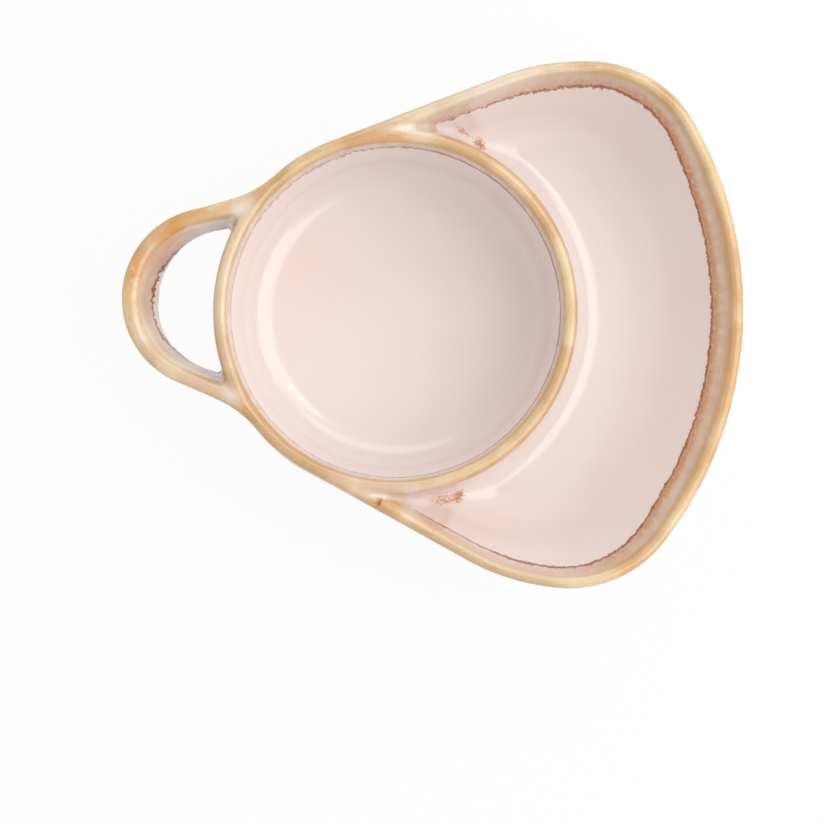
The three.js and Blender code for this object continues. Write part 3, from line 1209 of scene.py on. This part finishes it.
    def edge_colour(self, paint: Paint, glaze: Socket, near: Socket, runs: Socket) -> Socket:
        """Colour of the rim glaze with the rust and the brown line along its edge.

        Args:
            paint: the material that is being made.
            glaze: the rim glaze's colour.
            near: how far a place lies inside the edge.
            runs: cloudy value drawn out downwards.

        Returns:
            The colour's socket.
        """
        outer, fibre = paint.value(Layer.OUTER), paint.noise(self.fibre)
        close = paint.less(1.0, paint.step(near, *self.smear_fade))
        streaks = paint.plus(runs, paint.around(fibre, self.fibre_reach))
        streaks = paint.times(paint.step(streaks, *self.streak_range), paint.value(Layer.SMEAR))
        glaze = paint.mix(paint.times(close, streaks), glaze, self.rust)
        broad = paint.plus(paint.around(fibre, self.outer_line_reach), self.outer_line_extra)
        swell = paint.around(paint.noise(self.line_swell), self.line_swell_reach)
        thick = paint.plus(paint.less(near, paint.times(outer, broad)), swell)
        line = paint.less(1.0, paint.step(thick, *self.line_width))
        stain = paint.mix(outer, self.line, self.line_outer)
        return paint.mix(paint.times(line, paint.value(Layer.LINE)), glaze, stain)

    def flecked(self, paint: Paint, colour: Socket, near: Socket, inside: Socket) -> Socket:
        """Colour with the specks above the outer edge and the flecks in the horns.

        Args:
            paint: the material that is being made.
            colour: the colour under them.
            near: how far a place lies inside the edge.
            inside: 1 where the rim glaze lies.

        Returns:
            The colour's socket.
        """
        low = paint.less(1.0, paint.step(near, *self.speck_fade))
        speck = paint.times(paint.step(paint.noise(self.specks), *self.speck_range), inside)
        speck = paint.times(speck, paint.times(paint.value(Layer.OUTER), low))
        colour = paint.mix(paint.times(speck, self.speck_share), colour, self.rust)
        patch = paint.value(Layer.FLECK)
        crumbs = paint.plus(patch, paint.around(paint.noise(self.crumbs), self.crumb_reach))
        fleck = paint.times(paint.step(crumbs, *self.fleck_range), paint.step(patch, *self.fleck_fade))
        stain = paint.mix(paint.step(patch, *self.fleck_dark), self.rust, self.line)
        return paint.mix(fleck, colour, stain)

    def material(self) -> bpy.types.Material:
        """Make the glaze.

        Returns:
            A procedural material.
        """
        paint = Paint("stoneware_glaze")
        cloud, runs = paint.noise(self.cloud), paint.noise(self.runs)
        grit = paint.around(paint.noise(self.grit), self.grit_reach)
        jag = paint.plus(paint.around(runs, self.runs_reach), grit)
        near = paint.plus(self.run_edge(paint), paint.times(jag, paint.value(Layer.RAGGED)))
        inside = paint.step(near, -self.edge_soft, self.edge_soft)
        glaze = self.edge_colour(paint, self.rim_colour(paint), near, runs)
        colour = paint.mix(inside, self.body_colour(paint, cloud), glaze)
        colour = self.flecked(paint, colour, near, inside)
        rise = paint.plus(paint.times(inside, self.edge_rise), paint.times(cloud, self.cloud_rise))
        shader = paint.coat(colour, self.roughness, rise, self.relief, self.relief_share)
        shader.inputs["IOR"].default_value = self.refraction
        return paint.material


@dataclass(frozen=True)
class BareClay:
    """Unglazed fired clay on the ground, with the body's glaze just above it."""

    pale: Colour = tone(216, 190, 162)
    dark: Colour = tone(188, 154, 124)
    glaze: Colour = tone(226, 213, 210)
    glaze_foot: float = 0.9
    glaze_soft: float = 0.3
    roughness: float = 0.85
    glaze_roughness: float = 0.2
    relief: float = 0.2
    grain: Grain = Grain(0.6, 4)
    grain_range: Range = (0.55, 0.75)
    patches: Grain = Grain(9)
    patch_range: Range = (0.35, 0.7)
    waver: Grain = Grain(4)
    waver_reach: float = 0.3

    def material(self) -> bpy.types.Material:
        """Make the bare clay.

        Returns:
            A procedural material.
        """
        paint = Paint("bare_stoneware")
        grain, patch = paint.noise(self.grain), paint.noise(self.patches)
        colour = paint.mix(paint.step(patch, *self.patch_range), self.pale, self.dark)
        colour = paint.mix(paint.step(grain, *self.grain_range), colour, self.dark)
        height = paint.plus(paint.axis("Z"), paint.around(paint.noise(self.waver), self.waver_reach))
        glazed = paint.step(height, self.glaze_foot, self.glaze_foot + self.glaze_soft)
        glazed = paint.times(glazed, paint.value(Layer.OUTER))
        colour = paint.mix(glazed, colour, self.glaze)
        shine = paint.times(glazed, self.glaze_roughness - self.roughness)
        paint.coat(colour, paint.plus(shine, self.roughness), grain, self.relief)
        return paint.material


# Pieces


@dataclass
class GlazedDish:
    """Glazed body: shell, divider and handle grown together into one skin."""

    form: DishForm = field(default_factory=DishForm)
    voxel: float = 1.56
    seam_angle: float = 0.5
    seam_near: float = 2.5
    seam_far: float = 8.0
    seam_rounds: int = 24
    seam_share: float = 0.5
    first_rounds: int = 4
    crest_near: float = 0.5
    crest_far: float = 2.0
    last_rounds: int = 2
    last_share: float = 0.4
    dent_size: float = 30
    dent_levels: int = 1
    dent_middle: float = 0.5
    dent_height: float = 2.6
    dent_drop: float = 24
    dent_foot: float = 10

    def seams(self, piece: Piece) -> KDTree:
        """Find the hollow seams where walls and handle meet.

        Args:
            piece: the joined solids.

        Returns:
            Points along the seams, in metres.
        """
        mesh = bmesh.new()
        mesh.from_mesh(piece.data)
        found: list[Vector] = []
        for edge in mesh.edges:
            if edge.is_manifold and edge.calc_face_angle_signed(0) < -self.seam_angle:
                start, end = (vert.co for vert in edge.verts)
                count = 1 + int(edge.calc_length() / MM)
                found.extend(start.lerp(end, (i + 0.5) / count) for i in range(count))
        mesh.free()
        tree = KDTree(len(found))
        for index, point in enumerate(found):
            tree.insert(point, index)
        tree.balance()
        return tree

    def dented(self, piece: Piece) -> np.ndarray:
        """How far each point may be pushed by dents, which are on the outer side only.

        Args:
            piece: the glazed body.

        Returns:
            A share a point.
        """
        form = self.form
        x, y, z = points_of(piece).T
        below_rim = smooth_step(form.wall, self.dent_drop, form.rim_at(x) - z)
        above_foot = smooth_step(form.foot_height, self.dent_foot, z)
        outside = form.side(form.levelled(x, z)).inside(x, y) < form.roll
        return below_rim * above_foot * outside

    def build(self) -> Piece:
        """Model the glazed body.

        Returns:
            One closed piece at the origin.
        """
        piece = Shell(self.form).build()
        combine(piece, Divider(self.form).build(), Cut.JOIN)
        combine(piece, LoopHandle(self.form).build(), Cut.JOIN)
        piece.name = piece.data.name = "glazed_dish"
        seams = self.seams(piece)
        deselect_all()
        piece.select_set(True)
        bpy.context.view_layer.objects.active = piece
        bpy.ops.object.duplicate()
        target = bpy.context.object
        apply_modifier(piece, "REMESH", mode="VOXEL", voxel_size=self.voxel * MM)
        gap = np.array([seams.find(vert.co)[2] for vert in piece.data.vertices]) / MM
        x, _, z = points_of(piece).T
        crest = 1 - smooth_step(self.crest_near, self.crest_far, self.form.rim_at(x) - z)
        kept = np.maximum(smooth_step(self.seam_near, self.seam_far, gap), crest)
        seam, firm = weigh(piece, "seam", 1 - kept), weigh(piece, "kept", kept)
        share = self.seam_share
        apply_modifier(piece, "SMOOTH", factor=share, iterations=self.first_rounds)
        apply_modifier(
            piece, "SMOOTH", factor=share, iterations=self.seam_rounds, vertex_group=seam
        )
        apply_modifier(piece, "SHRINKWRAP", target=target, vertex_group=firm)
        apply_modifier(piece, "SMOOTH", factor=self.last_share, iterations=self.last_rounds)
        bpy.data.objects.remove(target, do_unlink=True)
        dents = bpy.data.textures.new("hand_dents", "CLOUDS")
        dents.noise_scale = self.dent_size * MM
        dents.noise_depth = self.dent_levels
        dented = weigh(piece, "dented", self.dented(piece))
        apply_modifier(
            piece, "DISPLACE", texture=dents, texture_coords="LOCAL", vertex_group=dented,
            strength=self.dent_height * MM, mid_level=self.dent_middle,
        )
        piece.vertex_groups.clear()
        deselect_all()
        piece.select_set(True)
        bpy.ops.object.shade_smooth()
        return piece

    def dress(self, piece: Piece, finish: RimGlaze) -> None:
        """Lay the glaze on the body and stand it for the CAD nodes.

        Args:
            piece: the glazed body.
            finish: its glaze.
        """
        GlazeRun(self.form).lay(piece)
        piece.data.materials.clear()
        piece.data.materials.append(finish.material())
        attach(piece, "root")
        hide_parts("base_slab", "bowl_wall", "tray_wall", "loop_handle")


@dataclass
class FootRing:
    """Bare-clay ring that the dish stands on."""

    form: DishForm = field(default_factory=DishForm)
    setback: float = 1.2
    width: float = 5
    ease: float = 0.8
    ease_steps: int = 4
    sharp: float = math.radians(40)

    def build(self) -> Piece:
        """Model the ring.

        Returns:
            One closed piece at the origin.
        """
        form = self.form
        outside = form.base_corner + self.setback
        inside = outside + self.width
        rounds = [
            (self.ease * drawn, self.ease * (1 - climb)) for drawn, climb in quarter(self.ease_steps)
        ]
        section = [(inside, form.foot_height)]
        section += [(inside - drawn, z) for drawn, z in rounds]
        section += [(outside + drawn, z) for drawn, z in reversed(rounds)]
        section.append((outside, form.foot_height))
        loops = [raised(form.foot.drawn_in(drawn).loop(), z) for drawn, z in section]
        piece = wrapped_sheet("bare_foot", np.array([*loops, loops[0]]))
        x, y, _ = points_of(piece).T
        keep_values(piece, Layer.OUTER, form.foot.inside(x, y) < (outside + inside) / 2)
        deselect_all()
        piece.select_set(True)
        bpy.ops.object.shade_smooth_by_angle(angle=self.sharp)
        return piece

    def dress(self, piece: Piece, finish: BareClay) -> None:
        """Give the ring its bare clay and stand it for its CAD node.

        Args:
            piece: the ring.
            finish: its clay.
        """
        piece.data.materials.clear()
        piece.data.materials.append(finish.material())
        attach(piece, "root")
        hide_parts("foot_ring")


@dataclass(frozen=True)
class Softbox:
    """Large soft lamp that faces the dish."""

    name: str
    place: tuple[float, float, float]
    width: float
    height: float
    glow: float

    def hang(self) -> None:
        """Hang the lamp so that its face has its glow, where 1 is white paper."""
        data = bpy.data.lights.new(self.name, "AREA")
        data.shape = "RECTANGLE"
        data.size, data.size_y = self.width, self.height
        data.energy = self.glow * math.pi * self.width * self.height
        lamp = bpy.data.objects.new(self.name, data)
        bpy.context.collection.objects.link(lamp)
        lamp.location = self.place
        lamp.rotation_euler = (-Vector(self.place)).to_track_quat("-Z", "Y").to_euler()


@dataclass
class Studio:
    """Pale floor, soft lamps and a camera straight above the dish."""

    floor_size: float = 4.0
    floor_grey: float = 0.9
    floor_glow: float = 0.93
    sky: float = 0.715
    softboxes: tuple[Softbox, ...] = (
        Softbox("right", (0.95, 0.0, 0.92), 1.5, 1.5, 1.42),
        Softbox("far", (0.1, 1.3, 0.9), 1.6, 0.8, 1.0),
        Softbox("overhead", (0.45, 0.55, 1.7), 0.3, 0.3, 2.8),
    )
    camera_x: float = AXIS_X + 10.32
    camera_y: float = -44.4
    camera_height: float = 1500
    camera_turn: float = math.radians(4.09)
    frame_width: float = 370.4
    rim_plane: float = 66
    sensor: float = 36

    def build(self) -> None:
        """Set up floor, lamps, world and camera."""
        self.floor()
        for softbox in self.softboxes:
            softbox.hang()
        self.world()
        self.camera()
        bpy.context.scene.view_settings.view_transform = "Standard"

    def floor(self) -> None:
        """Lay a pale floor that keeps the dish's shadow."""
        deselect_all()
        bpy.ops.mesh.primitive_plane_add(size=self.floor_size, location=(0, 0, 0))
        piece = bpy.context.object
        piece.name = piece.data.name = "studio_floor"
        paint = Paint("studio_floor")
        plain = paint.node("ShaderNodeBsdfDiffuse")
        plain.inputs["Color"].default_value = (*[self.floor_grey] * 3, 1)
        glow = paint.node("ShaderNodeEmission")
        path = paint.node("ShaderNodeLightPath")
        seen = paint.math("MAXIMUM", path.outputs["Is Camera Ray"], path.outputs["Is Glossy Ray"])
        mixed = paint.node("ShaderNodeMixShader")
        paint.feed(mixed.inputs[0], paint.times(seen, self.floor_glow))
        paint.feed(mixed.inputs[1], plain.outputs[0])
        paint.feed(mixed.inputs[2], glow.outputs[0])
        paint.show(mixed.outputs[0])
        piece.data.materials.append(paint.material)

    def world(self) -> None:
        """Light the dish from all round, with white behind it."""
        world = bpy.data.worlds.new("studio")
        bpy.context.scene.world = world
        world.use_nodes = True
        nodes, links = world.node_tree.nodes, world.node_tree.links
        back = nodes["Background"]
        path = nodes.new("ShaderNodeLightPath")
        level = nodes.new("ShaderNodeMapRange")
        level.inputs["To Min"].default_value = self.sky
        level.inputs["To Max"].default_value = 1.0
        links.new(path.outputs["Is Camera Ray"], level.inputs["Value"])
        links.new(level.outputs[0], back.inputs["Strength"])
        back.inputs["Color"].default_value = (1, 1, 1, 1)

    def camera(self) -> None:
        """Hang the camera straight above the middle of the picture."""
        data = bpy.data.cameras.new("camera")
        data.sensor_width = self.sensor
        data.lens = self.sensor * (self.camera_height - self.rim_plane) / self.frame_width
        camera = bpy.data.objects.new("camera", data)
        bpy.context.collection.objects.link(camera)
        place = (self.camera_x, self.camera_y, self.camera_height)
        camera.location = [size * MM for size in place]
        camera.rotation_euler = (0, 0, self.camera_turn)
        bpy.context.scene.camera = camera


def main() -> None:
    """Build the dish, its foot and the studio."""
    logging.basicConfig(level=logging.INFO, format="%(name)s: %(message)s")
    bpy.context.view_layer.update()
    dish = GlazedDish()
    body = dish.build()
    dish.dress(body, RimGlaze())
    LOG.info("%s: %d faces", body.name, len(body.data.polygons))
    ring = FootRing()
    foot = ring.build()
    ring.dress(foot, BareClay())
    LOG.info("%s: %d faces", foot.name, len(foot.data.polygons))
    Studio().build()


if __name__ == "__main__":
    main()
